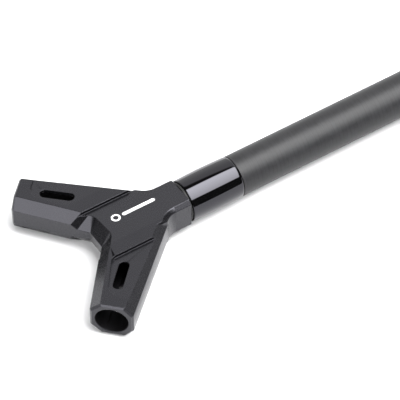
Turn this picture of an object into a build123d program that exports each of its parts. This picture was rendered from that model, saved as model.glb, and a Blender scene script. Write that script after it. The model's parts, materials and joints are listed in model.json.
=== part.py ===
from build123d import *
import os
from math import atan, atan2, cos, degrees, radians, sin, tan

# Landing-net handle: a machined V-shaped spreader block on a two-piece carbon pole.
#
# Design frame: the X axis is the pole's axis and points at the butt, Z is up, and the axes of
# the two net-arm sockets cross at the design origin.  Every piece is moved to the library frame
# (origin under the middle of the whole handle, on the surface it lies on) as it is written.

# ---- Driving dimensions, in millimetres and degrees -------------------------------------
ARM_ANGLE = 45.0            # each net-arm socket from the pole's axis
ARM_LENGTH = 60.7           # socket axes' crossing to the arm's end face
ARM_WIDTH = 20.4            # end face, across the arm
ARM_HEIGHT = 20.3           # end face, top to bottom
ARM_FLARE_IN = 5.5          # inner wall spreads from the arm's axis towards the root
ARM_FLARE_OUT = 3.75        # outer wall does the same
EDGE_IN = 5.0               # long inner edge chamfer, measured across
EDGE_OUT = 4.0              # long outer edge chamfer, measured across
EDGE_DOWN = 4.8             # both, measured down
END_EDGE_BREAK = 0.9        # small chamfer round each end face
SOCKET_R = 7.75
SOCKET_DEPTH = 40.0
SOCKET_EDGE_BREAK = 0.4
SLOT_FIRST = 32.1           # slot's inner and outer tips, along the arm
SLOT_LAST = 49.1
SLOT_WIDTH = 5.0
DRILL_POINT = 59.0          # half angle of the cone that a drill leaves

CENTRE_BAND = 12.7          # the arms' own faces begin this far either side of the pole's axis
CROTCH_X = -24.9            # blunt wall between the two arms
CROTCH_Z = 2.8              # height where the crotch's chamfers leave the walls
CROTCH_ACROSS = 5.6         # the blunt wall's chamfer, measured along the pole
CROTCH_SIDE_ACROSS = 7.0    # the chamfer on the first arm's side of the crotch
CROTCH_LEAN = 46.0          # its corners are flats on cones that lean this far from the corner line
CROTCH_FLATS = 5            # flats in each
CROTCH_END_RUN = 2.6        # the relief's end wall runs this far along the arm
CROTCH_END_DROP = 2.0       # while it drops this far
INNER_EDGE_STOP = -24.2     # the arms' inner chamfers run this far, into the relief

NECK_END = 22.3             # neck's end face, along the pole
NECK_HALF_WIDTH = 9.9
NECK_NEAR_EDGE = (2.2, 2.2)     # chamfer on the second arm's side, across and down
NECK_FAR_EDGE = (3.3, 4.0)      # and on the first arm's side
BAND_START = -11.0          # the neck's chamfers reach this far towards the crotch on the top face
FLARE_R = 9.0               # concave sweep from the arms into the neck

STEP_DEPTH = 1.8            # height of each step on the top face
HIGH_STEP_Y = 12.7          # step up from the deck to the first arm
LOW_STEP_Y = -18.2          # step down from the deck to the second arm
FLAT_BEFORE_SLOPE = 7.3     # flat strip beside each step, before the face starts to slope
POCKET_SLOPE_RUN = 30.0     # a pocket's floor slopes by one step's height over this
POCKET_RIM = 5.2            # rim between a pocket and the arm's inner edge, at the slot's middle
POCKET_RIM_TURN = 8.0       # the rim line's angle to the arm's axis
POCKET_END = 54.0           # pocket's end, along the arm
POCKET_END_R = 6.5
POCKET_CORNER_R = 5.0

STUD_R = 4.76               # 3/8 inch stud
STUD_IN_BLOCK = 17.0
STUD_OUT = 13.3
STUD_HOLE_SPARE = 1.0
STUD_EDGE = 1.0
LOCK_SCREW_R = 2.0
LOCK_SCREW_X = 14.0
LOCK_SCREW_LENGTH = 4.0
LOCK_SCREW_SOCKET_R = 1.0

SPACE = 300.0               # side of a tool that is larger than the block
FACE_GAP = 0.05             # faces of two moving bodies that meet end to end
RUN_GAP = 0.04              # radial clearance of a piece that turns or slides in another
WASHER_LENGTH = 1.2
WASHER_R = 9.9
WASHER_EDGE = 0.2

HANDLE_LENGTH = 1830.0      # both sections put together, six feet
WALL = 1.6                  # carbon tube's wall
FRONT_TUBE_R = 10.6         # tube's outer radius just behind the front collar
JOINT_TUBE_R = 12.0         # at the joint
BUTT_TUBE_R = 13.0          # at the butt
COLLAR_LENGTH = 29.0
COLLAR_R = 10.75            # front collar at its ends
COLLAR_CROWN = 0.35         # how much fuller it is at its middle
COLLAR_SEAT_R = 9.6         # turned-down end of the tube under it
COLLAR_EDGE = (1.5, 0.8)     # its end chamfers, along and down
INSERT_FLANGE = 1.0
INSERT_LENGTH = 36.0
INSERT_THREAD_DEPTH = 16.0

JOINT_COLLAR_LENGTH = 32.0
JOINT_COLLAR_WALL = 0.55
JOINT_RING_LENGTH = 1.4
JOINT_RING_R = 12.3
JOINT_RING_EDGE = 0.3
SPIGOT_R = 10.2
SPIGOT_WALL = 2.0
SPIGOT_OUT = 80.0
SPIGOT_IN = 90.0
SPIGOT_BORE_SPARE = 12.0
SPIGOT_LEAD = 1.2           # chamfer on its free end, along the pole
SPIGOT_LEAD_DEPTH = 0.6
BUNG_LENGTH = 12.0
BUNG_RECESS = 0.5

GRIP_LENGTH = 380.0
GRIP_R = 14.2
GRIP_EDGE = 0.4
RING_LENGTH = 6.0
RING_R = 14.8
RING_EDGE = 0.8
BUTT_CAP_LENGTH = 30.0
BUTT_CAP_R = 15.0
BUTT_CAP_SKIRT = 20.0
BUTT_CAP_EDGE = 0.6         # chamfer at its open end
BUTT_CAP_NOSE = 1.5         # chamfer at its closed end
BUTT_CAP_GAP = 0.05         # round the tube, for glue
CAP_GROOVES = (7.0, 12.0)   # two grooves, from its open end
CAP_GROOVE_WIDTH = 3.0
CAP_GROOVE_DEPTH = 0.6
BUTT_INSERT_LENGTH = 40.0
BUTT_INSERT_GAP = 0.06      # round the insert, for glue
BUTT_THREAD_DEPTH = 20.0
BUTT_SCREW_R = 3.0
BUTT_SCREW_IN = 16.0        # thread in the insert
BUTT_SCREW_HEAD_R = 4.8
BUTT_SCREW_HEAD = 3.5
BUTT_SCREW_KEY_R = 2.5
BUTT_SCREW_KEY_DEPTH = 2.5
BUTT_RECESS_R = 5.0
BUTT_RECESS = 4.0
BUTT_PAD_LENGTH = 2.5
BUTT_PAD_R = 11.0
BUTT_PAD_EDGE = 0.8

# ---- Sizes worked out from them -----------------------------------------------------------
TOP = ARM_HEIGHT / 2
TRIM_SPARE = 10.0           # how far the block is made past its ends before they are faced off
WASHER_START = NECK_END + FACE_GAP
HANDLE_START = WASHER_START + WASHER_LENGTH + FACE_GAP
TUBE_START = HANDLE_START + INSERT_FLANGE
COLLAR_END = HANDLE_START + COLLAR_LENGTH
HANDLE_END = HANDLE_START + HANDLE_LENGTH
JOINT_X = HANDLE_START + HANDLE_LENGTH / 2
RING_START = JOINT_X + FACE_GAP
LOWER_START = RING_START + JOINT_RING_LENGTH + FACE_GAP
PAD_START = HANDLE_END - BUTT_PAD_LENGTH
CAP_FACE = PAD_START - (BUTT_CAP_LENGTH - BUTT_CAP_SKIRT)
CAP_START = PAD_START - BUTT_CAP_LENGTH
GRIP_END = CAP_START - RING_LENGTH
GRIP_START = GRIP_END - GRIP_LENGTH

CORNER_ALONG = ARM_WIDTH / 2 + END_EDGE_BREAK * tan(radians(ARM_FLARE_IN)) - END_EDGE_BREAK
BLOCK_FRONT = -(ARM_LENGTH + CORNER_ALONG) * cos(radians(ARM_ANGLE))
LIBRARY_ORIGIN = Vector((BLOCK_FRONT + HANDLE_END) / 2, 0, -BUTT_CAP_R)


# ---- Small helpers --------------------------------------------------------------------------
def on_arm(side, along, across):
    """Plan position on one arm: side +1 or -1, distance along its axis, distance outwards."""
    turn = radians(ARM_ANGLE)
    return (-cos(turn) * along + sin(turn) * across, side * (sin(turn) * along + cos(turn) * across))


def wall_at(along, outer):
    """Distance of an arm's inner or outer wall from its axis."""
    spread = tan(radians(ARM_FLARE_OUT if outer else ARM_FLARE_IN)) * (ARM_LENGTH - along)
    return (1 if outer else -1) * (ARM_WIDTH / 2 + spread)


def crossing(first, second):
    """Where two plan lines cross; each is a pair of points."""
    (x1, y1), (x2, y2) = first
    (x3, y3), (x4, y4) = second
    bottom = (x1 - x2) * (y3 - y4) - (y1 - y2) * (x3 - x4)
    a, b = x1 * y2 - y1 * x2, x3 * y4 - y3 * x4
    return ((a * (x3 - x4) - (x1 - x2) * b) / bottom, (a * (y3 - y4) - (y1 - y2) * b) / bottom)


def plan_face(points, rounds):
    """A flat face through plan points; rounds maps a point's place in the list to a radius."""
    around = list(zip(points, points[1:] + points[:1]))
    anticlockwise = sum(x1 * y2 - x2 * y1 for (x1, y1), (x2, y2) in around) > 0
    face = make_face(Polyline(*(points if anticlockwise else points[::-1]), close=True))
    for place, radius in rounds.items():
        corner = face.vertices().sort_by_distance((*points[place], 0))[0]
        face = fillet(corner, radius)
    return face.faces()[0]


def open_side(origin, facing):
    """Everything on the side of a plane that it faces."""
    half_space = Box(SPACE, SPACE, SPACE, align=(Align.CENTER, Align.CENTER, Align.MIN))
    return Plane(origin=origin, z_dir=facing) * half_space


def turned(points):
    """A solid of revolution about the pole's axis from (x, radius) points."""
    outline = make_face(Polyline(*[(x, r) for x, r in points], close=True))
    return revolve(outline, Axis.X)


def across_block(points):
    """A prism along the whole block, from (y, z) points of its section."""
    section = make_face(Polyline(*points, close=True))
    placed = Plane(origin=(-70, 0, 0), x_dir=(0, 1, 0), z_dir=(1, 0, 0)) * section
    return extrude(placed, 110, dir=(1, 0, 0))


def tube_radius(x):
    """Outer radius of the bare pole at x."""
    if x <= JOINT_X:
        part = (x - COLLAR_END) / (JOINT_X - COLLAR_END)
        return FRONT_TUBE_R + (JOINT_TUBE_R - FRONT_TUBE_R) * part
    part = (x - JOINT_X) / (HANDLE_END - JOINT_X)
    return JOINT_TUBE_R + (BUTT_TUBE_R - JOINT_TUBE_R) * part


# ---- Spreader block ---------------------------------------------------------------------------
def wall_line(side, outer):
    """Two plan points on an arm's inner or outer wall, from beyond its end to its root."""
    return [on_arm(side, along, wall_at(along, outer)) for along in (ARM_LENGTH + TRIM_SPARE, 0)]


def block_outline():
    """Plan outline of the block's side walls, symmetric about the pole's axis."""
    inner, outer = wall_line(1, False), wall_line(1, True)
    web = ((CROTCH_X, 0), (CROTCH_X, 1))
    neck = ((0, NECK_HALF_WIDTH), (1, NECK_HALF_WIDTH))
    end = (NECK_END + TRIM_SPARE, NECK_HALF_WIDTH)
    half = [crossing(web, inner), inner[0], outer[0], crossing(outer, neck), end]
    mirrored = [(x, -y) for x, y in reversed(half)]
    return plan_face(half + mirrored, {3: FLARE_R, 6: FLARE_R})


def edged_block(across, down):
    """The upper half of the block with one chamfer all along its top edges."""
    outline = block_outline()
    body = extrude(outline, TOP - down, dir=(0, 0, 1))
    slope = degrees(atan(across / down))
    return body + extrude(Pos(0, 0, TOP - down) * outline, down, dir=(0, 0, 1), taper=slope)


def into_arm(side):
    """Unit vector square to one arm's inner wall, pointing into the arm."""
    start, root = wall_line(side, False)
    along_wall = Vector(root[0] - start[0], root[1] - start[1], 0).normalized()
    return Vector(-along_wall.Y, along_wall.X, 0) * side


def side_facing(side, across, down):
    """Unit normal of one arm's inner chamfer of that size, out of the block."""
    return (Vector(0, 0, across) - into_arm(side) * down).normalized()


def inner_side(side, across, down):
    """Everything past one arm's inner chamfer, which leaves the wall that far down from the top."""
    return open_side((*wall_line(side, False)[0], TOP - down), side_facing(side, across, down))


def inner_edge_cut(side):
    """Widens one arm's inner chamfer, from its end into the crotch's relief."""
    behind_wall = open_side((*wall_line(side, False)[0], 0), into_arm(side))
    before_neck = open_side((INNER_EDGE_STOP, 0, 0), (-1, 0, 0))
    return inner_side(side, EDGE_IN, EDGE_DOWN) & behind_wall & before_neck


def leaning_end():
    """Everything on the open side of the wall that ends the crotch relief on the first arm."""
    x, y = crossing(wall_line(1, False), ((0, CENTRE_BAND), (1, CENTRE_BAND)))
    lean = radians(ARM_ANGLE + ARM_FLARE_IN)
    up_chamfer = Vector(EDGE_IN / sin(lean), 0, EDGE_DOWN)
    down_wall = Vector(CROTCH_END_RUN * cos(lean), -CROTCH_END_RUN * sin(lean), -CROTCH_END_DROP)
    return open_side((x, y, TOP - EDGE_DOWN), down_wall.cross(up_chamfer))


def crotch_relief():
    """The chamfered space between the arms, with rounded corners beside the blunt wall."""
    down = TOP - CROTCH_Z
    blunt = Vector(-down, 0, CROTCH_ACROSS).normalized()
    space = open_side((CROTCH_X, 0, CROTCH_Z), blunt) & open_side((0, 0, CROTCH_Z), (0, 0, 1))
    for side, across in ((1, CROTCH_SIDE_ACROSS), (-1, EDGE_IN)):
        space &= inner_side(side, across, down)
        corner = crossing(((CROTCH_X, 0), (CROTCH_X, 1)), wall_line(side, False))
        for facing in between_facings(blunt, side_facing(side, across, down)):
            space &= open_side((*corner, CROTCH_Z), facing)
    return space & leaning_end() & open_side((0, -CENTRE_BAND, 0), (0, 1, 0))


def between_facings(first, second):
    """Facings that turn from one plane's to another's about the axis of a cone that touches both."""
    along_corner = first.cross(second).normalized()
    if along_corner.Z < 0:
        along_corner = along_corner * -1
    middle = (first + second).normalized()
    axis = along_corner * cos(radians(CROTCH_LEAN)) + middle * sin(radians(CROTCH_LEAN))
    start, end = first - axis * first.dot(axis), second - axis * second.dot(axis)
    whole = degrees(atan2(axis.dot(start.cross(end)), start.dot(end)))
    turns = [whole * k / (CROTCH_FLATS + 1) for k in range(1, CROTCH_FLATS + 1)]
    return [first.rotate(Axis((0, 0, 0), axis), turn) for turn in turns]


def pocket(side):
    """Shallow scoop round one slot, sloping down towards +Y, open at the arm's outer side."""
    middle = (SLOT_FIRST + SLOT_LAST) / 2
    turn = tan(radians(POCKET_RIM_TURN))
    rim = [on_arm(side, a, -(POCKET_RIM + (middle - a) * turn)) for a in (0, ARM_LENGTH)]
    end = [on_arm(side, POCKET_END, across) for across in (0, 2 * ARM_WIDTH)]
    if side > 0:
        first_y = HIGH_STEP_Y + FLAT_BEFORE_SLOPE
        start_rounds = {}
        floor = [(first_y, TOP), (first_y + 2 * POCKET_SLOPE_RUN, TOP - 2 * STEP_DEPTH)]
    else:
        first_y = LOW_STEP_Y
        start_rounds = {0: POCKET_CORNER_R}
        floor = [(first_y, TOP - STEP_DEPTH), (first_y - POCKET_SLOPE_RUN, TOP)]
    start = ((0, first_y), (1, first_y))
    points = [crossing(start, rim), crossing(rim, end), end[1], (40, side * ARM_LENGTH), (40, first_y)]
    plan = plan_face(points, {1: POCKET_END_R, **start_rounds})
    wedge = across_block([floor[0], floor[1], (floor[1][0], TOP + 2), (floor[0][0], TOP + 2)])
    return extrude(plan, TOP + 1, dir=(0, 0, 1)) & wedge


def deck_cut():
    """The centre band's slope, ending in the step up to the first arm."""
    low = LOW_STEP_Y + FLAT_BEFORE_SLOPE
    points = [(low, TOP), (HIGH_STEP_Y, TOP - STEP_DEPTH), (HIGH_STEP_Y, TOP + 2), (low, TOP + 2)]
    return across_block(points)


def slot_cut(side):
    """A round-ended slot from the top face into one socket."""
    length, middle = SLOT_LAST - SLOT_FIRST, (SLOT_FIRST + SLOT_LAST) / 2
    x, y = on_arm(side, middle, 0)
    shape = SlotOverall(length, SLOT_WIDTH, rotation=-side * ARM_ANGLE)
    return extrude(Pos(x, y, 0) * shape, TOP + 1, dir=(0, 0, 1))


def neck_part(side, across, down):
    """One side of the centre band beyond the crotch, with the neck's own chamfer on its top edge."""
    half_band = open_side((0, 0, 0), (0, side, 0)) & open_side((0, side * CENTRE_BAND, 0), (0, -side, 0))
    beyond_crotch = open_side((BAND_START, 0, TOP), (1, 0, -1))
    return edged_block(across, down) & half_band & beyond_crotch


def upper_half():
    """The block above its middle plane, without its bores."""
    body = edged_block(EDGE_OUT, EDGE_DOWN) - inner_edge_cut(1) - inner_edge_cut(-1)
    body += neck_part(-1, *NECK_NEAR_EDGE)
    body += neck_part(1, *NECK_FAR_EDGE)
    body = face_off(body)
    body -= crotch_relief()
    body -= deck_cut()
    for side in (1, -1):
        body -= pocket(side)
        body -= slot_cut(side)
    return body


def face_off(body):
    """Trims the arms' and the neck's ends flat and breaks the arms' end edges."""
    body -= open_side((NECK_END, 0, 0), (1, 0, 0))
    for side in (1, -1):
        body -= open_side((*on_arm(side, ARM_LENGTH, 0), 0), (*on_arm(side, 1, 0), 0))
    rims = [edge for edge in body.edges() if on_arm_end(edge)]
    return chamfer(rims, END_EDGE_BREAK)


def on_arm_end(edge):
    """True for an edge round an arm's end face, apart from the one on the middle plane."""
    centre = edge.center()
    along = (-centre.X + abs(centre.Y)) * cos(radians(ARM_ANGLE))
    ends = [abs((-p.X + abs(p.Y)) * cos(radians(ARM_ANGLE)) - ARM_LENGTH) < 0.01 for p in edge.vertices()]
    return abs(along - ARM_LENGTH) < 0.01 and all(ends) and centre.Z > 0.01


def socket_bore(side):
    """One net-arm socket with a drill-point bottom and a broken edge at its mouth."""
    point = SOCKET_R / tan(radians(DRILL_POINT))
    start, end = ARM_LENGTH - SOCKET_DEPTH, ARM_LENGTH
    profile = [(start - point, 0), (start, SOCKET_R), (end - SOCKET_EDGE_BREAK, SOCKET_R),
               (end + 1, SOCKET_R + SOCKET_EDGE_BREAK + 1), (end + 1, 0)]
    return Rot(0, 0, 180 - side * ARM_ANGLE) * turned(profile)


def spreader_block():
    """The whole block: its lower half is its upper half turned over about the pole's axis."""
    top = upper_half()
    body = top + Rot(180, 0, 0) * top
    for side in (1, -1):
        body -= socket_bore(side)
    start = NECK_END - STUD_IN_BLOCK - STUD_HOLE_SPARE
    body -= turned([(start - STUD_R / tan(radians(DRILL_POINT)), 0), (start, STUD_R),
                    (NECK_END + 1, STUD_R), (NECK_END + 1, 0)])
    depth = TOP - STUD_R + 1
    body -= Pos(LOCK_SCREW_X, 0, -STUD_R - depth / 2) * Cylinder(LOCK_SCREW_R, depth + 1)
    return body


def block_stud():
    """Stainless stud fixed in the block's neck; its free end screws into the handle."""
    first, last = NECK_END - STUD_IN_BLOCK, NECK_END + STUD_OUT
    return turned([(first, 0), (first, STUD_R - STUD_EDGE), (first + STUD_EDGE, STUD_R),
                   (last - STUD_EDGE, STUD_R), (last, STUD_R - STUD_EDGE), (last, 0)])


def stud_lock_screw():
    """Grub screw under the neck that locks the stud, with a hexagon socket."""
    body = Cylinder(LOCK_SCREW_R, LOCK_SCREW_LENGTH)
    body -= extrude(RegularPolygon(LOCK_SCREW_SOCKET_R, 6), -LOCK_SCREW_LENGTH / 2, dir=(0, 0, 1))
    return Pos(LOCK_SCREW_X, 0, -STUD_R - LOCK_SCREW_LENGTH / 2) * body


# ---- Upper section -----------------------------------------------------------------------------
def sealing_washer():
    """Soft black washer that closes the joint between the block and the handle."""
    return ring(WASHER_START, WASHER_START + WASHER_LENGTH, STUD_R + RUN_GAP, WASHER_R, WASHER_EDGE)


def ring(first, last, inner, outer, edge):
    """A plain ring about the pole's axis with broken outer edges."""
    return turned([(first, inner), (first, outer - edge), (first + edge, outer), (last - edge, outer),
                   (last, outer - edge), (last, inner)])


def front_collar():
    """Gloss collar over the turned-down front of the tube, slightly fuller in its middle."""
    first, last, full = HANDLE_START, COLLAR_END, COLLAR_R + COLLAR_CROWN
    along, down = COLLAR_EDGE
    return turned([(first, COLLAR_SEAT_R), (first, COLLAR_R - down), (first + along, COLLAR_R),
                   (first + COLLAR_LENGTH / 3, full), (last - COLLAR_LENGTH / 3, full),
                   (last - along, COLLAR_R), (last, COLLAR_R - down), (last, COLLAR_SEAT_R)])


def front_insert():
    """Aluminium insert bonded in the tube's front end, bored for the stud."""
    first, last, bore = HANDLE_START, HANDLE_START + INSERT_LENGTH, STUD_R + RUN_GAP
    inner, bottom = FRONT_TUBE_R - WALL, HANDLE_START + INSERT_THREAD_DEPTH
    point = bottom + bore / tan(radians(DRILL_POINT))
    return turned([(first, bore), (first, COLLAR_SEAT_R), (TUBE_START, COLLAR_SEAT_R), (TUBE_START, inner),
                   (last, inner), (last, 0), (point, 0), (bottom, bore)])


def upper_tube():
    """Front carbon tube, turned down under the collar and bored true for the spigot."""
    inner = FRONT_TUBE_R - WALL
    insert_end = HANDLE_START + INSERT_LENGTH
    true_start = JOINT_X - SPIGOT_OUT - SPIGOT_BORE_SPARE
    return turned([(TUBE_START, inner), (TUBE_START, COLLAR_SEAT_R), (COLLAR_END, COLLAR_SEAT_R),
                   (COLLAR_END, FRONT_TUBE_R), (JOINT_X, JOINT_TUBE_R), (JOINT_X, SPIGOT_R + RUN_GAP),
                   (true_start, SPIGOT_R + RUN_GAP), (true_start - WALL, tube_radius(true_start) - WALL),
                   (insert_end, inner)])


def tapered_collar(first, last):
    """A thin gloss collar that follows the tube's taper."""
    rounding = JOINT_COLLAR_WALL * 0.8
    return turned([(first, tube_radius(first)), (first + rounding, tube_radius(first) + JOINT_COLLAR_WALL),
                   (last - rounding, tube_radius(last) + JOINT_COLLAR_WALL), (last, tube_radius(last))])


def upper_joint_collar():
    """Gloss collar that stiffens the upper tube's open end."""
    return tapered_collar(JOINT_X - JOINT_COLLAR_LENGTH, JOINT_X)


def joint_ring():
    """Rubber ring that cushions the two sections where they meet."""
    return ring(RING_START, RING_START + JOINT_RING_LENGTH, SPIGOT_R + RUN_GAP, JOINT_RING_R,
                JOINT_RING_EDGE)


# ---- Lower section -----------------------------------------------------------------------------
def spigot():
    """Carbon spigot bonded in the lower tube; its free end slides into the upper one."""
    first, last = JOINT_X - SPIGOT_OUT, LOWER_START + SPIGOT_IN
    inner = SPIGOT_R - SPIGOT_WALL
    return turned([(first, inner), (first, SPIGOT_R - SPIGOT_LEAD_DEPTH), (first + SPIGOT_LEAD, SPIGOT_R),
                   (last, SPIGOT_R), (last, inner)])


def spigot_bung():
    """Foam bung that closes the spigot's free end."""
    first, radius = JOINT_X - SPIGOT_OUT + BUNG_RECESS, SPIGOT_R - SPIGOT_WALL
    return turned([(first, 0), (first, radius), (first + BUNG_LENGTH, radius), (first + BUNG_LENGTH, 0)])


def lower_tube():
    """Rear carbon tube, bored true where the spigot is bonded."""
    spigot_end = LOWER_START + SPIGOT_IN
    return turned([(LOWER_START, SPIGOT_R), (LOWER_START, tube_radius(LOWER_START)),
                   (CAP_FACE, tube_radius(CAP_FACE)), (CAP_FACE, tube_radius(CAP_FACE) - WALL),
                   (spigot_end + WALL, tube_radius(spigot_end) - WALL), (spigot_end, SPIGOT_R)])


def lower_joint_collar():
    """Gloss collar on the lower tube's front end."""
    return tapered_collar(LOWER_START, LOWER_START + JOINT_COLLAR_LENGTH)


def over_tube(first, last, outer, edge):
    """A sleeve on the tapered tube, cylindrical outside."""
    return turned([(first, tube_radius(first)), (first, outer - edge), (first + edge, outer),
                   (last - edge, outer), (last, outer - edge), (last, tube_radius(last))])


def grip_sleeve():
    """Rubbery grip round the butt end."""
    return over_tube(GRIP_START, GRIP_END, GRIP_R, GRIP_EDGE)


def grip_front_ring():
    """Aluminium trim ring ahead of the grip."""
    return over_tube(GRIP_START - RING_LENGTH, GRIP_START, RING_R, RING_EDGE)


def grip_rear_ring():
    """Aluminium trim ring between the grip and the butt cap."""
    return over_tube(GRIP_END, CAP_START, RING_R, RING_EDGE)


def butt_insert():
    """Aluminium plug bonded in the butt end, tapped for the cap's screw."""
    first = CAP_FACE - BUTT_INSERT_LENGTH
    outer = tube_radius(CAP_FACE) - WALL - BUTT_INSERT_GAP
    bottom = CAP_FACE - BUTT_THREAD_DEPTH
    point = bottom - BUTT_SCREW_R / tan(radians(DRILL_POINT))
    return turned([(first, 0), (first, outer), (CAP_FACE, outer), (CAP_FACE, BUTT_SCREW_R),
                   (bottom, BUTT_SCREW_R), (point, 0)])


def butt_cap():
    """Aluminium cap over the butt end, recessed for its screw."""
    skirt, depth = tube_radius(CAP_FACE) + BUTT_CAP_GAP, CAP_GROOVE_DEPTH
    outline = [(CAP_START, skirt), (CAP_START, BUTT_CAP_R - BUTT_CAP_EDGE),
               (CAP_START + BUTT_CAP_EDGE, BUTT_CAP_R)]
    for place in CAP_GROOVES:
        first, last = CAP_START + place, CAP_START + place + CAP_GROOVE_WIDTH
        outline += [(first, BUTT_CAP_R), (first + depth, BUTT_CAP_R - depth),
                    (last - depth, BUTT_CAP_R - depth), (last, BUTT_CAP_R)]
    recess = PAD_START - BUTT_RECESS
    outline += [(PAD_START - BUTT_CAP_NOSE, BUTT_CAP_R), (PAD_START, BUTT_CAP_R - BUTT_CAP_NOSE),
                (PAD_START, BUTT_RECESS_R), (recess, BUTT_RECESS_R), (recess, BUTT_SCREW_R),
                (CAP_FACE, BUTT_SCREW_R), (CAP_FACE, skirt)]
    return turned(outline)


def butt_screw():
    """Socket-head screw that holds the butt cap, under the pad."""
    first, head = CAP_FACE - BUTT_SCREW_IN, PAD_START - BUTT_RECESS
    last = head + BUTT_SCREW_HEAD
    body = turned([(first, 0), (first, BUTT_SCREW_R), (head, BUTT_SCREW_R), (head, BUTT_SCREW_HEAD_R),
                   (last, BUTT_SCREW_HEAD_R), (last, 0)])
    key_floor = Plane(origin=(last - BUTT_SCREW_KEY_DEPTH, 0, 0), x_dir=(0, 1, 0), z_dir=(1, 0, 0))
    return body - extrude(key_floor * RegularPolygon(BUTT_SCREW_KEY_R, 6), BUTT_RECESS, dir=(1, 0, 0))


def butt_pad():
    """Rubber pad on the butt cap's end face."""
    return turned([(PAD_START, 0), (PAD_START, BUTT_PAD_R), (HANDLE_END - BUTT_PAD_EDGE, BUTT_PAD_R),
                   (HANDLE_END, BUTT_PAD_R - BUTT_PAD_EDGE), (HANDLE_END, 0)])


PIECES = [spreader_block, block_stud, stud_lock_screw, sealing_washer, front_insert, front_collar,
          upper_tube, upper_joint_collar, joint_ring, spigot, spigot_bung, lower_tube,
          lower_joint_collar, grip_front_ring, grip_sleeve, grip_rear_ring, butt_insert, butt_cap,
          butt_screw, butt_pad]

os.makedirs("parts", exist_ok=True)
for make_piece in PIECES:
    piece = Pos(*(-LIBRARY_ORIGIN)) * make_piece()
    export_step(piece, f"parts/{make_piece.__name__}.step")
print("origin in the design frame:", [round(v, 3) for v in LIBRARY_ORIGIN])
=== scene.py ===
import bpy
import json
from math import cos, pi, radians, sin
from mathutils import Matrix, Vector


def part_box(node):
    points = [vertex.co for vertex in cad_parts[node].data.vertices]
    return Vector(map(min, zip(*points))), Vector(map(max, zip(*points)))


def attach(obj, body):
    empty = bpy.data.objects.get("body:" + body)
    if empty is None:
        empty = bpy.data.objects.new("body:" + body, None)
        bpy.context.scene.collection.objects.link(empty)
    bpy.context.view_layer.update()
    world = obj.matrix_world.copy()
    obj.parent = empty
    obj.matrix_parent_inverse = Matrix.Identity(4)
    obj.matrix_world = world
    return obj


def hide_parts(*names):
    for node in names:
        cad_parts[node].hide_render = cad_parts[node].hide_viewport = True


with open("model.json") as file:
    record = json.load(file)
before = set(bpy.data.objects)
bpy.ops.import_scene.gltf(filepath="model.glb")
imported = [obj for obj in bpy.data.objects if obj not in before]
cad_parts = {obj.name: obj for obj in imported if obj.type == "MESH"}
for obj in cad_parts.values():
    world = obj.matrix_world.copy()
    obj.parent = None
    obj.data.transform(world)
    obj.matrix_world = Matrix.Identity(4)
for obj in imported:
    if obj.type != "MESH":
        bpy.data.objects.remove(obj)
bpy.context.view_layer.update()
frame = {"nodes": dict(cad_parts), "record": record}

# A landing-net handle: a machined V-shaped spreader block screwed to a two-piece carbon pole.
# Metres, in the library frame: +X along the pole to the butt, +Z up out of the block's face.

# ---- Places worked out from the frame --------------------------------------------------------
MM = 0.001
AXIS_Z = (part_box("upper_tube")[0].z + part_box("upper_tube")[1].z) / 2
NECK_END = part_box("spreader_block")[1].x
CROSSING_TO_NECK_END = 22.3 * MM
CROSSING = Vector((NECK_END - CROSSING_TO_NECK_END, 0, AXIS_Z))   # where the sockets' axes meet
BLOCK_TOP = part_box("spreader_block")[1].z
STEP_DEPTH = 1.8 * MM           # height of each step on the block's top face
DECK_SLOPE_START = -10.9 * MM   # across the pole: the deck slopes down from here
HIGH_STEP = 12.7 * MM           # to the foot of the first arm's step
SOCKET_SPREAD = radians(45)     # from the pole's axis to each socket's
SOCKET_R = 7.75 * MM


# ---- Shader helpers --------------------------------------------------------------------------
COLOUR_MIX = (6, 7, 2)          # a Mix node's sockets for two colours and their blend
NUMBER_MIX = (2, 3, 0)          # and for two numbers


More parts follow.
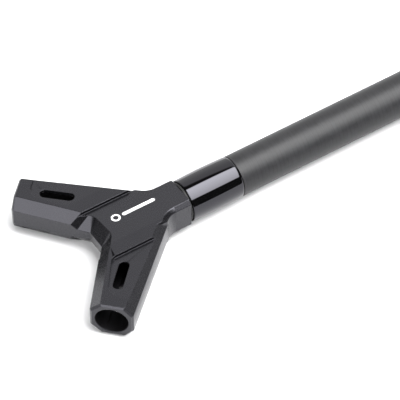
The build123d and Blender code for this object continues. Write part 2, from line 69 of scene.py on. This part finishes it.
class Nodes:
    """A short way to build one material's or world's node tree."""

    def __init__(self, tree):
        self.tree = tree
        self.tree.nodes.clear()

    def add(self, kind, values=None, **settings):
        node = self.tree.nodes.new(kind)
        for name, value in settings.items():
            setattr(node, name, value)
        for name, value in (values or {}).items():
            self.give(node, name, value)
        return node

    def give(self, node, name, value):
        socket = node.inputs[name]
        if isinstance(value, bpy.types.NodeSocket):
            self.tree.links.new(value, socket)
        else:
            socket.default_value = value

    def math(self, operation, first, second=0.0, third=0.0):
        values = {0: first, 1: second, 2: third}
        return self.add("ShaderNodeMath", values, operation=operation).outputs[0]

    def times(self, first, second):
        return self.math("MULTIPLY", first, second)

    def vector(self, operation, first, second=(0, 0, 0)):
        """A vector operation's result, a plain number for a length or a dot product."""
        node = self.add("ShaderNodeVectorMath", {0: first, 1: second}, operation=operation)
        return node.outputs["Value" if operation in ("LENGTH", "DOT_PRODUCT") else "Vector"]

    def parts(self, vector):
        return self.add("ShaderNodeSeparateXYZ", {0: vector}).outputs

    def scaled(self, vector, x, y, z):
        return self.add("ShaderNodeMapping", {"Vector": vector, "Scale": (x, y, z)}).outputs[0]

    def noise(self, vector, scale, detail=2.0, roughness=0.5):
        values = {"Vector": vector, "Scale": scale, "Detail": detail, "Roughness": roughness}
        return self.add("ShaderNodeTexNoise", values).outputs["Fac"]

    def ramp(self, value, low, high, to_low=0.0, to_high=1.0, smooth=False):
        """to_low at low and to_high at high, held beyond both."""
        kind = "SMOOTHSTEP" if smooth else "LINEAR"
        values = {"Value": value, "From Min": low, "From Max": high, "To Min": to_low, "To Max": to_high}
        return self.add("ShaderNodeMapRange", values, interpolation_type=kind).outputs[0]

    def mix(self, factor, first, second, kind, sockets):
        first_in, second_in, blend = sockets
        values = {0: factor, first_in: first, second_in: second}
        return self.add("ShaderNodeMix", values, data_type=kind).outputs[blend]

    def colour(self, factor, first, second):
        """Between two colours, each a socket or (red, green, blue)."""
        ends = [end if isinstance(end, bpy.types.NodeSocket) else (*end, 1) for end in (first, second)]
        return self.mix(factor, *ends, "RGBA", COLOUR_MIX)

    def bump(self, height, strength, distance):
        values = {"Height": height, "Strength": strength, "Distance": distance}
        return self.add("ShaderNodeBump", values).outputs[0]

    def object_space(self):
        return self.add("ShaderNodeTexCoord").outputs["Object"]


def material(name):
    """A material with one Principled shader; returns it, its nodes and the shader."""
    made = bpy.data.materials.new(name)
    made.use_nodes = True
    nodes = Nodes(made.node_tree)
    shader = nodes.add("ShaderNodeBsdfPrincipled")
    output = nodes.add("ShaderNodeOutputMaterial")
    made.node_tree.links.new(shader.outputs[0], output.inputs[0])
    return made, nodes, shader


def set_inputs(shader, values):
    for name, value in values.items():
        shader.inputs[name].default_value = value


# ---- Materials ---------------------------------------------------------------------------------
COOL_LIGHT_TINT = (0.965, 0.955, 1.07, 1)      # painted light: the studio light's faintly violet-blue colour, put into the reflections on the anodising and the lacquer
NOISE_SPAN = (0.3, 0.7)             # most of a noise's values lie between these
ANODISED_TONES = ((0.0030, 0.0030, 0.0034), (0.0062, 0.0062, 0.0070))
# painted shade: a blacker colour for the inside of the sockets, standing in for the shade in them
BORE_SHADE_TONE = (0.002, 0.0018, 0.0018)
LACQUER_TONES = ((0.0010, 0.0010, 0.0011), (0.0018, 0.0018, 0.0019))
BORES_BEYOND = 14 * MM              # along a socket's axis: past the neck, short of the bore's bottom
ARM_ENDS_BEYOND = 57 * MM           # along a socket's axis: just short of the arm's end face
ALONG_FADE = 1 * MM                 # how softly both of these begin
CUTTER_PITCH = 0.9 * MM


def on_socket_axis(nodes, place, side):
    """A point's distance from one net-arm socket's axis, and how far along that axis it lies."""
    along = Vector((-cos(SOCKET_SPREAD), side * sin(SOCKET_SPREAD), 0))
    offset = nodes.vector("SUBTRACT", place, CROSSING)
    distance = nodes.vector("LENGTH", nodes.vector("CROSS_PRODUCT", offset, along))
    return distance, nodes.vector("DOT_PRODUCT", offset, along)


def in_bores(nodes, place):
    """1 inside the two sockets, 0 outside them, and how far along the nearer arm a point lies."""
    edge, faded = SOCKET_R + 0.15 * MM, SOCKET_R + 0.25 * MM
    inside, reach = 0.0, 0.0
    for side in (1, -1):
        distance, along = on_socket_axis(nodes, place, side)
        near = nodes.ramp(distance, edge, faded, to_low=1.0, to_high=0.0)
        beyond_neck = nodes.ramp(along, BORES_BEYOND, BORES_BEYOND + ALONG_FADE)
        inside = nodes.math("MAXIMUM", inside, nodes.times(near, beyond_neck))
        reach = nodes.math("MAXIMUM", reach, along)
    return inside, reach


def on_walls(nodes):
    """1 on faces that stand upright, 0 on level and sloping ones."""
    normal = nodes.add("ShaderNodeNewGeometry").outputs["Normal"]
    levelness = nodes.math("ABSOLUTE", nodes.parts(normal)[2])
    return nodes.ramp(levelness, 0.3, 0.5, to_low=1.0, to_high=0.0)


def cutter_lines(nodes, place):
    """Slanting waves of uneven height, as a cutter's side leaves them."""
    x, y, z = nodes.parts(place)
    slanted = nodes.math("ADD", nodes.math("SUBTRACT", x, y), z)
    lines = nodes.math("SINE", nodes.times(slanted, 2 * pi / CUTTER_PITCH))
    return nodes.times(lines, nodes.noise(place, scale=300, detail=2))


def on_risers(nodes, place, wall, reach):
    """1 on the steps' risers: the walls within a step's depth of the top, short of the arms' ends."""
    foot, clear = BLOCK_TOP - STEP_DEPTH - 0.15 * MM, BLOCK_TOP - STEP_DEPTH - 0.1 * MM
    high = nodes.ramp(nodes.parts(place)[2], foot, clear)
    end = ARM_ENDS_BEYOND
    before_end = nodes.ramp(reach, end, end + ALONG_FADE, to_low=1.0, to_high=0.0)
    return nodes.times(high, nodes.times(wall, before_end))


def anodised(name, milled):
    """Satin black anodising over fine blasting. If milled, walls get faint cutter lines and a little
    less sheen, and the bores are rougher. Painted shade: the bores get a blacker colour and a third
    of the sheen, and the steps' risers almost no sheen, standing in for the shade there."""
    wall_loss, bore_shade, least_sheen = 0.07, 0.7, 0.04
    made, nodes, shader = material(name)
    place = nodes.object_space()
    fine = nodes.noise(place, scale=3200, detail=3)
    height = fine
    colour = nodes.colour(nodes.noise(place, scale=70, detail=4), *ANODISED_TONES)
    rough = nodes.ramp(fine, *NOISE_SPAN, to_low=0.22, to_high=0.30)
    if milled:
        wall = on_walls(nodes)
        bored, reach = in_bores(nodes, place)
        height = nodes.math("MULTIPLY_ADD", nodes.times(cutter_lines(nodes, place), wall), 0.6, fine)
        risers = on_risers(nodes, place, wall, reach)
        # painted shade: the steps' risers lose almost all their sheen and the bores two thirds of it
        painted_shade = nodes.math("MAXIMUM", risers, nodes.times(bored, bore_shade))
        sheen = nodes.math("MULTIPLY_ADD", wall, -wall_loss, 0.5)
        sheen = nodes.times(sheen, nodes.ramp(painted_shade, 0.0, 1.0, to_low=1.0, to_high=least_sheen))
        nodes.give(shader, "Specular IOR Level", sheen)
        rough = nodes.math("MULTIPLY_ADD", bored, 0.3, rough)
        # painted shade: the sockets' inside gets a blacker colour for the shade in them
        colour = nodes.colour(bored, colour, BORE_SHADE_TONE)
    nodes.give(shader, "Base Color", colour)
    nodes.give(shader, "Roughness", rough)
    nodes.give(shader, "Normal", nodes.bump(height, strength=0.22, distance=0.02 * MM))
    # painted light: the reflections carry the studio light's cool tint
    set_inputs(shader, {"IOR": 1.48, "Specular Tint": COOL_LIGHT_TINT})
    return made


def lacquer():
    """Deep gloss lacquer with the faint waviness of sprayed varnish."""
    made, nodes, shader = material("gloss_lacquer")
    place = nodes.object_space()
    tone = nodes.noise(place, scale=90, detail=2)
    haze = nodes.noise(place, scale=900, detail=2)
    waves = nodes.noise(place, scale=260, detail=2)
    nodes.give(shader, "Base Color", nodes.colour(tone, *LACQUER_TONES))
    nodes.give(shader, "Roughness", nodes.ramp(haze, *NOISE_SPAN, to_low=0.03, to_high=0.06))
    nodes.give(shader, "Normal", nodes.bump(waves, strength=0.12, distance=0.02 * MM))
    # painted light: the reflections carry the studio light's cool tint
    set_inputs(shader, {"IOR": 1.5, "Specular Tint": COOL_LIGHT_TINT})
    return made


def around_pole(nodes, place):
    """Angle about the pole's axis, and the distance along it."""
    x, y, z = nodes.parts(place)
    return nodes.math("ARCTAN2", nodes.math("SUBTRACT", z, AXIS_Z), y), x


def carbon(name, dark, light, rough):
    """Matte unsanded carbon: a spiral of tape edges over cloudy resin and fine fibre streaks."""
    tape_width = 2.2 * MM
    made, nodes, shader = material(name)
    place = nodes.object_space()
    angle, along = around_pole(nodes, place)
    turns = nodes.math("MULTIPLY_ADD", along, 1 / tape_width, nodes.times(angle, 1 / (2 * pi)))
    from_middle = nodes.math("ABSOLUTE", nodes.math("SUBTRACT", nodes.math("FRACT", turns), 0.5))
    edge = nodes.ramp(from_middle, 0.40, 0.5, smooth=True)
    cloudy = nodes.noise(nodes.scaled(place, 1.0, 0.5, 0.5), scale=420, detail=4, roughness=0.6)
    streaks = nodes.noise(nodes.scaled(place, 1, 0.15, 0.15), scale=1500, detail=3)
    resin = nodes.math("MULTIPLY_ADD", streaks, 0.35, nodes.times(cloudy, 0.65))
    mixed = nodes.math("MULTIPLY_ADD", edge, -0.25, resin)
    height = nodes.math("MULTIPLY_ADD", edge, -0.8, cloudy)
    nodes.give(shader, "Base Color", nodes.colour(nodes.ramp(mixed, 0.25, 0.65), dark, light))
    nodes.give(shader, "Roughness", nodes.ramp(mixed, 0.2, 0.7, to_low=rough - 0.07, to_high=rough + 0.07))
    nodes.give(shader, "Normal", nodes.bump(height, strength=0.35, distance=0.04 * MM))
    set_inputs(shader, {"Specular IOR Level": 0.4})
    return made


def grained(name, colour, rough, metallic=0.0, scale=800.0, bump=0.2, stretch=(1, 1, 1)):
    """A plain finish whose tone, roughness and bump follow a grain of its own."""
    made, nodes, shader = material(name)
    place = nodes.scaled(nodes.object_space(), *stretch)
    fine = nodes.noise(place, scale, detail=3)
    broad = nodes.noise(place, scale / 12, detail=3)
    darker = tuple(0.72 * c for c in colour)
    grain = nodes.math("MULTIPLY_ADD", fine, 0.5, nodes.times(broad, 0.5))
    nodes.give(shader, "Base Color", nodes.colour(nodes.ramp(grain, 0.35, 0.65), darker, colour))
    nodes.give(shader, "Roughness", nodes.ramp(fine, *NOISE_SPAN, to_low=rough - 0.05, to_high=rough + 0.05))
    nodes.give(shader, "Normal", nodes.bump(fine, strength=bump, distance=0.03 * MM))
    set_inputs(shader, {"Metallic": metallic})
    return made


# Turned metal: its grain is stretched across the pole's axis, as turning marks are.
TURNED = {"metallic": 1.0, "stretch": (1, 0.04, 0.04)}
MATERIALS = {
    "black_anodised": anodised("black_anodised", milled=False),
    "gloss_lacquer": lacquer(),
    "matte_carbon": carbon("matte_carbon", (0.0042, 0.0042, 0.0047), (0.015, 0.015, 0.017), rough=0.48),
    "spigot_carbon": carbon("spigot_carbon", (0.02, 0.02, 0.021), (0.05, 0.05, 0.052), rough=0.34),
    "stainless_steel": grained("stainless_steel", (0.62, 0.62, 0.61), 0.22, scale=5000, bump=0.3, **TURNED),
    "black_steel": grained("black_steel", (0.03, 0.03, 0.032), 0.35, metallic=0.6, scale=2500),
    "black_rubber": grained("black_rubber", (0.006, 0.006, 0.006), 0.62, scale=1400, bump=0.4),
    "bare_aluminium": grained("bare_aluminium", (0.76, 0.76, 0.77), 0.28, scale=4000, bump=0.35, **TURNED),
    "closed_foam": grained("closed_foam", (0.16, 0.16, 0.17), 0.9, scale=1300, bump=1.0),
    "grip_rubber": grained("grip_rubber", (0.012, 0.012, 0.012), 0.6, scale=1800, bump=0.5),
}
MILLED_BLOCK = anodised("milled_block", milled=True)
WHITE_PRINT = grained("white_print", (0.86, 0.86, 0.86), 0.45, scale=2600, bump=0.15)
SLOTS = {part["node"]: part["material_slot"] for part in frame["record"]["subparts"]}


def paint_nodes():
    """Gives each CAD node its slot's finish, and the spreader block the milled one."""
    for name, finish in SLOTS.items():
        node = frame["nodes"][name]
        node.data.materials.clear()
        node.data.materials.append(MATERIALS[finish])
    frame["nodes"]["spreader_block"].data.materials[0] = MILLED_BLOCK


# ---- Pieces --------------------------------------------------------------------------------------
def new_piece(name, points, faces, body, paint, sharp=35.0):
    """A smooth-shaded mesh piece that rides on a body, creased at turns of over sharp degrees."""
    mesh = bpy.data.meshes.new(name)
    mesh.from_pydata(points, [], faces)
    mesh.polygons.foreach_set("use_smooth", [True] * len(mesh.polygons))
    mesh.set_sharp_from_angle(angle=radians(sharp))
    mesh.materials.append(paint)
    made = bpy.data.objects.new(name, mesh)
    bpy.context.scene.collection.objects.link(made)
    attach(made, body)
    return made


def instead_of(node, name, points, faces, sharp=35.0):
    """A detailed piece that stands for a CAD node, with its body and finish."""
    bodies = frame["record"]["behaviour"]["bodies"]
    body = next(body for body, nodes in bodies.items() if node in nodes)
    made = new_piece(name, points, faces, body, MATERIALS[SLOTS[node]], sharp)
    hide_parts(node)


def broken_edges(node, width):
    """Breaks a machined piece's sharp edges, once its facets share their points."""
    weld = node.modifiers.new("weld", "WELD")
    weld.merge_threshold = 0.002 * MM
    bevel = node.modifiers.new("bevel", "BEVEL")
    bevel.width = width
    bevel.segments = 2
    bevel.limit_method = "ANGLE"
    bevel.angle_limit = radians(25)
    bevel.use_clamp_overlap = False
    bevel.harden_normals = True


def steps(first, last, count):
    """Evenly spaced values from first to last, count steps apart."""
    return [first + (last - first) * i / count for i in range(count + 1)]


def lathe(rows, spokes, closed):
    """Points and faces about the pole's axis, from rows of (x, radius at an angle).
    Closed joins the last row to the first, and otherwise both end rows get a flat face."""
    points, faces = [], []
    for x, radius in rows:
        for j in range(spokes):
            angle = 2 * pi * j / spokes
            r = radius(angle)
            points.append((x, r * cos(angle), AXIS_Z + r * sin(angle)))
    count = len(rows)
    for i in range(count if closed else count - 1):
        for j in range(spokes):
            after, k = (i + 1) % count, (j + 1) % spokes
            faces.append((i * spokes + j, i * spokes + k, after * spokes + k, after * spokes + j))
    if not closed:
        faces.append(tuple(reversed(range(spokes))))
        faces.append(tuple(range((count - 1) * spokes, count * spokes)))
    return points, faces


def radius_of(node):
    low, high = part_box(node)
    return (high.z - low.z) / 2


def glossy_collar():
    """The front collar with a smooth crown and rolled ends, in place of its faceted CAD ring."""
    low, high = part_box("front_collar")
    seat, full, crown = 9.6 * MM, radius_of("front_collar"), 0.35 * MM
    front_roll, rear_roll = (0.45 * MM, 0.3 * MM), (1.5 * MM, 0.8 * MM)     # along and down
    front_rows, middle_rows, rear_rows, spokes = 6, 24, 8, 128
    middle, half = (low.x + high.x) / 2, (high.x - low.x) / 2

    def outer(x):
        t = (x - middle) / half
        along, down = front_roll if x < middle else rear_roll
        into_end = max(0.0, 1 - (half - abs(x - middle)) / along)
        return full - crown * t * t - down * (1 - (1 - into_end ** 2) ** 0.5)

    front = [low.x + front_roll[0] * (1 - cos(a)) for a in steps(0, pi / 2, front_rows)]
    rear = [high.x - rear_roll[0] * (1 - sin(a)) for a in steps(0, pi / 2, rear_rows)]
    places = front + steps(front[-1], rear[0], middle_rows)[1:-1] + rear
    rows = [(low.x, lambda angle: seat)]
    rows += [(x, lambda angle, r=outer(x): r) for x in places]
    rows += [(high.x, lambda angle: seat)]
    instead_of("front_collar", "front_collar_gloss", *lathe(rows, spokes, True), 50.0)


def threaded_stud():
    """The stud with its real thread, 20 turns to the inch, running out at both chamfered ends."""
    low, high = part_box("block_stud")
    crest, pitch, depth, lead = radius_of("block_stud"), 1.27 * MM, 0.78 * MM, 1.0 * MM
    rows_per_turn, spokes = 10, 48
    steepness, crest_flat = 1.25, 0.12

    def surface(x, angle):
        turn = x / pitch - angle / (2 * pi)
        flank = abs(2 * (turn % 1) - 1)
        cut = crest - depth * min(1.0, max(0.0, steepness * flank - crest_flat))
        return min(cut, crest - lead + min(x - low.x, high.x - x))

    count = round((high.x - low.x) / (pitch / rows_per_turn))
    rows = [(x, lambda angle, x=x: surface(x, angle)) for x in steps(low.x, high.x, count)]
    instead_of("block_stud", "block_stud_thread", *lathe(rows, spokes, False), 80.0)


def hatched_grip():
    """The grip with moulded diamond grooves between two plain bands, in place of its plain sleeve."""
    low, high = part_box("grip_sleeve")
    outer, depth, edge, band = radius_of("grip_sleeve"), 0.55 * MM, 0.4 * MM, 5 * MM
    inner = radius_of("lower_tube") - 0.35 * MM
    starts, rise, samples = 16, 8.5 * MM, 8     # grooves each way, a diamond's length, rows in it
    groove_edge, steepness, run_out = 0.30, 1.6, 1.5 * MM     # the edge is a sine's value

    def surface(x, angle):
        from_end = min(x - low.x, high.x - x) - band
        if from_end < 0:
            return outer - edge * max(0.0, 1 - (from_end + band) / edge)
        a = abs(sin(pi * x / rise + starts * angle / 2))
        b = abs(sin(pi * x / rise - starts * angle / 2))
        groove = max(0.0, 1 - min(a, b) / groove_edge)
        return outer - depth * min(groove * steepness, 1.0) * min(from_end / run_out, 1.0)

    count = round((high.x - low.x - 2 * band) / (rise / samples))
    pattern = steps(low.x + band, high.x - band, count)
    places = [low.x, low.x + edge] + pattern + [high.x - edge, high.x]
    rows = [(x, lambda angle, x=x: surface(x, angle)) for x in places]
    rows = [(low.x, lambda angle: inner)] + rows + [(high.x, lambda angle: inner)]
    instead_of("grip_sleeve", "grip_sleeve_hatched", *lathe(rows, starts * samples, True), 60.0)


def flat_mark(name, outline, hole):
    """A thin white print on the sloping deck, from plan points in mm from the crossing.
    A hole has as many points as the outline."""
    slope, thin = -STEP_DEPTH / (HIGH_STEP - DECK_SLOPE_START), 0.02 * MM
    rings = [outline] + ([hole] if hole else [])
    points, faces = [], []
    for ring in rings:
        for lift in (thin, -thin):
            for x, y in ring:
                deck = BLOCK_TOP + slope * (y * MM - DECK_SLOPE_START)
                points.append((CROSSING.x + x * MM, y * MM, deck + lift))
    count = len(outline)
    for k in range(len(rings)):
        base = 2 * k * count
        for i in range(count):
            j = (i + 1) % count
            side = (base + i, base + count + i, base + count + j, base + j)
            faces.append(side if k == 0 else side[::-1])
    if hole:
        for i in range(count):
            j = (i + 1) % count
            faces.append((i, j, 2 * count + j, 2 * count + i))
            faces.append((count + i, 3 * count + i, 3 * count + j, count + j))
    else:
        faces.append(tuple(range(count)))
        faces.append(tuple(reversed(range(count, 2 * count))))
    new_piece(name, points, faces, "block", WHITE_PRINT, 30.0)


def arc(x, y, radius, first, last, count):
    """Points on an arc between two angles in degrees."""
    return [(x + radius * cos(radians(a)), y + radius * sin(radians(a))) for a in steps(first, last, count)]


def deck_marks():
    """Plain white marks where the real block carries print: a ring and a bar (mm)."""
    across = 1.9
    ring_x, ring_outer, ring_inner = -12.6, 2.3, 1.35
    bar_half_length, bar_half_width = 8.0, 0.95
    outline, hole = [arc(ring_x, across, radius, 0, 350, 35) for radius in (ring_outer, ring_inner)]
    flat_mark("deck_mark_ring", outline, hole)
    near_end = arc(bar_half_length, across, bar_half_width, -90, 90, 10)
    far_end = arc(-bar_half_length, across, bar_half_width, 90, 270, 10)
    flat_mark("deck_mark_bar", near_end + far_end, None)


BLOCK_EDGE_BREAK, TURNED_EDGE_BREAK = 0.2 * MM, 0.12 * MM
TURNED_PIECES = ("butt_cap", "grip_front_ring", "grip_rear_ring", "sealing_washer", "butt_pad",
                 "joint_ring")

paint_nodes()
broken_edges(frame["nodes"]["spreader_block"], BLOCK_EDGE_BREAK)
for turned_piece in TURNED_PIECES:
    broken_edges(frame["nodes"][turned_piece], TURNED_EDGE_BREAK)
glossy_collar()
threaded_stud()
hatched_grip()
deck_marks()


# ---- Stage ---------------------------------------------------------------------------------------
FLOOR_HALF_SIZE = 60.0
FLOOR_TONE = (0.75, 0.75, 0.757, 1)

CAMERA_AZIMUTH, CAMERA_ELEVATION, CAMERA_ROLL = radians(236.34), radians(49.03), radians(0.48)
CAMERA_DISTANCE = 0.99878
CAMERA_LENS = 187.6                 # mm, on a sensor 36 mm wide
AIM = CROSSING + Vector((31.05, -3.79, 0)) * MM

BEHIND = Vector((-cos(CAMERA_AZIMUTH), -sin(CAMERA_AZIMUTH), 0))    # away from the camera
SWEEP_BEHIND, SWEEP_HEIGHT = 0.62, (-0.9, 0.85)     # cosine from BEHIND, and sine of the height
SWEEP_LIGHT = 1.25
SOFTBOX_ALONG, SOFTBOX_ACROSS = (-0.1, 0.95), (-1.24, 0.14)         # on a ceiling at height 1
SOFTBOX_FULL = -0.1                     # across: it grows brighter from its near edge to here
SOFTBOX_LIGHT = (7.0, 11.6)             # at that edge and from there on
FILL = Vector((-0.70, -0.34, 0.63))     # towards the fill light, on the arms' and the camera's side
FILL_EDGE = 0.93                        # cosine from FILL
FILL_LIGHT = 4.7
ROOM_LIGHT = 0.03
BEYOND_COSINES = 2.0                    # a window's end that no cosine reaches


def floor():
    """A huge pale floor, tilted a hair so that it touches the butt cap and the front collar."""
    cap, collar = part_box("butt_cap"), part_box("front_collar")
    slope = (collar[0].z - cap[0].z) / (cap[0].x - collar[0].x)
    size = FLOOR_HALF_SIZE
    mesh = bpy.data.meshes.new("floor")
    corners = [(-size, -size), (size, -size), (size, size), (-size, size)]
    mesh.from_pydata([(x, y, slope * (cap[0].x - x)) for x, y in corners], [], [(0, 1, 2, 3)])
    made = bpy.data.objects.new("floor", mesh)
    bpy.context.scene.collection.objects.link(made)
    paper, nodes, shader = material("floor_paper")
    set_inputs(shader, {"Base Color": FLOOR_TONE, "Roughness": 0.7})
    mesh.materials.append(paper)


def window(nodes, value, low, high, soft):
    """1 between low and high and 0 outside, changing smoothly over the soft distance each way."""
    rise = nodes.ramp(value, low - soft, low + soft, smooth=True)
    fall = nodes.ramp(value, high - soft, high + soft, to_low=1.0, to_high=0.0, smooth=True)
    return nodes.times(rise, fall)


def softbox(nodes, x, y, z):
    """A rectangle of light on a ceiling, dimmest at its near edge."""
    up = nodes.math("MAXIMUM", z, 0.001)
    along, across = nodes.math("DIVIDE", x, up), nodes.math("DIVIDE", y, up)
    inside = nodes.times(window(nodes, along, *SOFTBOX_ALONG, soft=0.06),
                         window(nodes, across, *SOFTBOX_ACROSS, soft=0.03))
    return nodes.times(inside, nodes.ramp(across, SOFTBOX_ACROSS[0], SOFTBOX_FULL, *SOFTBOX_LIGHT))


def pale_sweep(nodes, x, y, z):
    """A pale backdrop on the far side, up to nearly 60 degrees above the horizon."""
    level = nodes.math("SQRT", nodes.math("ADD", nodes.times(x, x), nodes.times(y, y)))
    behind = nodes.math("ADD", nodes.times(x, BEHIND.x), nodes.times(y, BEHIND.y))
    behind = nodes.math("DIVIDE", behind, nodes.math("MAXIMUM", level, 0.001))
    inside = nodes.times(window(nodes, behind, SWEEP_BEHIND, BEYOND_COSINES, soft=0.12),
                         window(nodes, z, *SWEEP_HEIGHT, soft=0.03))
    return nodes.times(inside, SWEEP_LIGHT)


def fill_light(nodes, direction):
    """A weak round light about the direction FILL."""
    facing = nodes.vector("DOT_PRODUCT", direction, FILL)
    return nodes.times(window(nodes, facing, FILL_EDGE, BEYOND_COSINES, soft=0.05), FILL_LIGHT)


def studio():
    """Soft studio light: a pale sweep behind, a softbox overhead, a weak fill and a dark room.
    The camera itself sees plain white beyond the floor."""
    world = bpy.data.worlds.new("studio")
    bpy.context.scene.world = world
    bpy.context.scene.view_settings.view_transform = "Standard"
    world.use_nodes = True
    nodes = Nodes(world.node_tree)
    direction = nodes.add("ShaderNodeTexCoord").outputs["Generated"]
    x, y, z = nodes.parts(direction)
    large = nodes.math("ADD", pale_sweep(nodes, x, y, z), softbox(nodes, x, y, z))
    small = nodes.math("ADD", fill_light(nodes, direction), ROOM_LIGHT)
    seen = nodes.add("ShaderNodeLightPath").outputs["Is Camera Ray"]
    strength = nodes.mix(seen, nodes.math("ADD", large, small), 1.0, "FLOAT", NUMBER_MIX)
    background = nodes.add("ShaderNodeBackground", {"Color": (1, 1, 1, 1), "Strength": strength})
    output = nodes.add("ShaderNodeOutputWorld")
    world.node_tree.links.new(background.outputs[0], output.inputs[0])


def camera():
    """The camera: long lens, a little under 50 degrees above the floor, looking from the arms' side."""
    flat = cos(CAMERA_ELEVATION)
    back = Vector((cos(CAMERA_AZIMUTH) * flat, sin(CAMERA_AZIMUTH) * flat, sin(CAMERA_ELEVATION)))
    data = bpy.data.cameras.new("camera")
    data.sensor_width = 36
    data.lens = CAMERA_LENS
    data.clip_end = 200
    made = bpy.data.objects.new("camera", data)
    bpy.context.scene.collection.objects.link(made)
    turn = (-back).to_track_quat("-Z", "Y").to_matrix().to_4x4() @ Matrix.Rotation(CAMERA_ROLL, 4, "Z")
    made.matrix_world = Matrix.Translation(AIM + back * CAMERA_DISTANCE) @ turn
    bpy.context.scene.camera = made


floor()
studio()
camera()
